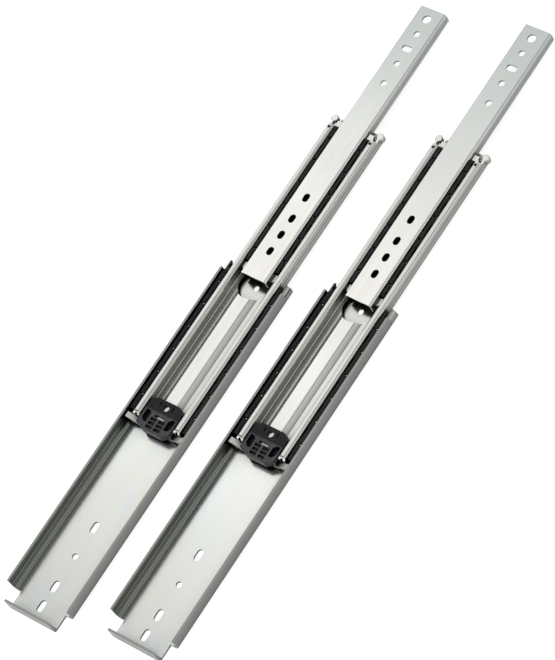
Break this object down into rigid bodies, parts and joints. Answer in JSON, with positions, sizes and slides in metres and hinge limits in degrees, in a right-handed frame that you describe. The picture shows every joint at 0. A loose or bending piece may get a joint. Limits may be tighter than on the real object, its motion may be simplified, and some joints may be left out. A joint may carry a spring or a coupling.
{
  "type": "pair of full-extension drawer slides",
  "caption": "Pair of side-mounted full-extension ball-bearing drawer slides in zinc-plated steel, with black retainers and stop blocks, pulled right out.",
  "frame": {"origin": "under the middle of the pair's box, on the face that the outer members rest on", "axes": "+X along the travel towards the drawer front, +Y across the slides to the left one, +Z away from the cabinet wall"},
  "size_m": [0.734, 0.187, 0.0191],
  "materials": {
    "zinc_steel": "bright zinc plate",
    "black_plastic": "moulded satin black",
    "ball_steel": "polished"
  },
  "bodies": {
    "cabinet_members": {"left_outer_member": "zinc_steel", "right_outer_member": "zinc_steel"},
    "left_intermediate": {"left_intermediate_member": "zinc_steel", "left_rear_stop_block": "black_plastic"},
    "left_drawer": {"left_inner_member": "zinc_steel"},
    "left_outer_retainer": {"left_outer_cage_upper": "black_plastic", "left_outer_cage_lower": "black_plastic", "left_outer_balls_upper": "ball_steel", "left_outer_balls_lower": "ball_steel"},
    "left_inner_retainer": {"left_inner_cage_upper": "black_plastic", "left_inner_cage_lower": "black_plastic", "left_inner_balls_upper": "ball_steel", "left_inner_balls_lower": "ball_steel"},
    "right_intermediate": {"right_intermediate_member": "zinc_steel", "right_rear_stop_block": "black_plastic"},
    "right_drawer": {"right_inner_member": "zinc_steel"},
    "right_outer_retainer": {"right_outer_cage_upper": "black_plastic", "right_outer_cage_lower": "black_plastic", "right_outer_balls_upper": "ball_steel", "right_outer_balls_lower": "ball_steel"},
    "right_inner_retainer": {"right_inner_cage_upper": "black_plastic", "right_inner_cage_lower": "black_plastic", "right_inner_balls_upper": "ball_steel", "right_inner_balls_lower": "ball_steel"}
  },
  "joints": [
    {"name": "left_intermediate_slide", "type": "slide", "parent": "cabinet_members", "child": "left_intermediate", "axis": [1, 0, 0], "range_m": [-0.179, 0]},
    {"name": "left_drawer_slide", "type": "slide", "parent": "left_intermediate", "child": "left_drawer", "axis": [1, 0, 0], "range_m": [-0.1373, 0]},
    {"name": "left_outer_retainer_slide", "type": "slide", "parent": "cabinet_members", "child": "left_outer_retainer", "axis": [1, 0, 0], "range_m": [-0.0895, 0]},
    {"name": "left_inner_retainer_slide", "type": "slide", "parent": "left_intermediate", "child": "left_inner_retainer", "axis": [1, 0, 0], "range_m": [-0.06865, 0]},
    {"name": "right_intermediate_slide", "type": "slide", "parent": "cabinet_members", "child": "right_intermediate", "axis": [1, 0, 0], "range_m": [-0.179, 0]},
    {"name": "right_drawer_slide", "type": "slide", "parent": "right_intermediate", "child": "right_drawer", "axis": [1, 0, 0], "range_m": [-0.1373, 0]},
    {"name": "right_outer_retainer_slide", "type": "slide", "parent": "cabinet_members", "child": "right_outer_retainer", "axis": [1, 0, 0], "range_m": [-0.0895, 0]},
    {"name": "right_inner_retainer_slide", "type": "slide", "parent": "right_intermediate", "child": "right_inner_retainer", "axis": [1, 0, 0], "range_m": [-0.06865, 0]}
  ],
  "couplings": [
    {"joint": "left_outer_retainer_slide", "follows": "left_intermediate_slide", "ratio": 0.5},
    {"joint": "left_inner_retainer_slide", "follows": "left_drawer_slide", "ratio": 0.5},
    {"joint": "right_outer_retainer_slide", "follows": "right_intermediate_slide", "ratio": 0.5},
    {"joint": "right_inner_retainer_slide", "follows": "right_drawer_slide", "ratio": 0.5}
  ]
}
